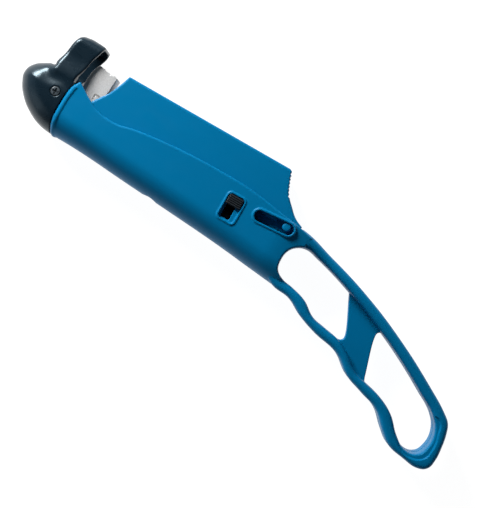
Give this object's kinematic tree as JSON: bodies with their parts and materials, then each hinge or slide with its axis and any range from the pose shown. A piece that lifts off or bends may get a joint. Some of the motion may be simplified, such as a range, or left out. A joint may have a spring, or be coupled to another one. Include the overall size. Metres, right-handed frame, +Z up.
{
  "type": "kitchen gas lighter",
  "caption": "Long kitchen gas lighter with a thumb-pushed trigger, steel windshield, ring guard at the flame end and a looped finger-grip handle.",
  "frame": {"origin": "centre of the bounding box's underside, with the lighter lying on its side", "axes": "+X from the flame end to the handle's tail, +Y towards the trigger's side, +Z up, through the thickness"},
  "size_m": [0.2206, 0.0842, 0.0207],
  "materials": {
    "blue_plastic": "satin ABS",
    "navy_plastic": "gloss",
    "satin_steel": "satin",
    "screw_steel": "bright zinc plate",
    "spring_steel": "drawn wire",
    "black_plastic": "fine matt texture",
    "brass": "turned",
    "tank_plastic": "dark moulded",
    "wheel_steel": "hardened, cut teeth",
    "flint_alloy": "sintered",
    "wick_felt": "felt",
    "seal_rubber": "moulded"
  },
  "bodies": {
    "casing": {"casing_upper": "blue_plastic", "casing_lower": "blue_plastic", "nose_cap": "navy_plastic", "axle_screw": "screw_steel", "casing_screw_1": "screw_steel", "casing_screw_2": "screw_steel", "casing_screw_3": "screw_steel", "windshield": "satin_steel", "flame_nozzle": "brass", "gas_pipe": "brass", "flint": "flint_alloy", "flint_spring": "spring_steel", "flint_tube": "brass", "flint_plug": "screw_steel", "fuel_tank": "tank_plastic", "tank_cap": "tank_plastic", "valve_body": "brass", "lever_pin": "screw_steel", "tank_wick": "wick_felt", "refill_valve": "brass", "refill_seal": "seal_rubber", "spring_anchor": "tank_plastic", "return_spring": "spring_steel"},
    "trigger_body": {"trigger": "blue_plastic", "guide_pin": "blue_plastic", "trigger_rack": "blue_plastic"},
    "wheel_body": {"spark_wheel": "wheel_steel", "drive_pinion": "brass"},
    "lever_body": {"valve_lever": "black_plastic"},
    "plunger_body": {"valve_plunger": "black_plastic"},
    "lock_body": {"lock_slider": "black_plastic", "lock_clip": "black_plastic"}
  },
  "joints": [
    {"name": "trigger_slide", "type": "slide", "parent": "casing", "child": "trigger_body", "axis": [-0.9969, -0.0785, 0], "range_m": [0, 0.0108], "stiffness_N_per_m": 250, "springref_m": -0.006, "deforming": ["return_spring"]},
    {"name": "spark_wheel_spin", "type": "hinge", "parent": "casing", "child": "wheel_body", "pos_m": [-0.09403, 0.01657, 0.01], "axis": [0, 0, 1], "range_deg": [0, 240]},
    {"name": "valve_lever_tilt", "type": "hinge", "parent": "casing", "child": "lever_body", "pos_m": [-0.08113, 0.01137, 0.0139], "axis": [0, 0, 1], "range_deg": [0, 8.2]},
    {"name": "valve_plunger_slide", "type": "slide", "parent": "casing", "child": "plunger_body", "axis": [1, 0, 0], "range_m": [0, 0.0008]},
    {"name": "lock_slide", "type": "slide", "parent": "casing", "child": "lock_body", "axis": [0, -1, 0], "range_m": [0, 0.005]}
  ],
  "couplings": [
    {"joint": "spark_wheel_spin", "follows": "trigger_slide", "rad_per_m": 384.62},
    {"joint": "valve_lever_tilt", "follows": "trigger_slide", "rad_per_m": 12.928},
    {"joint": "valve_plunger_slide", "follows": "trigger_slide", "ratio": 0.07037}
  ]
}
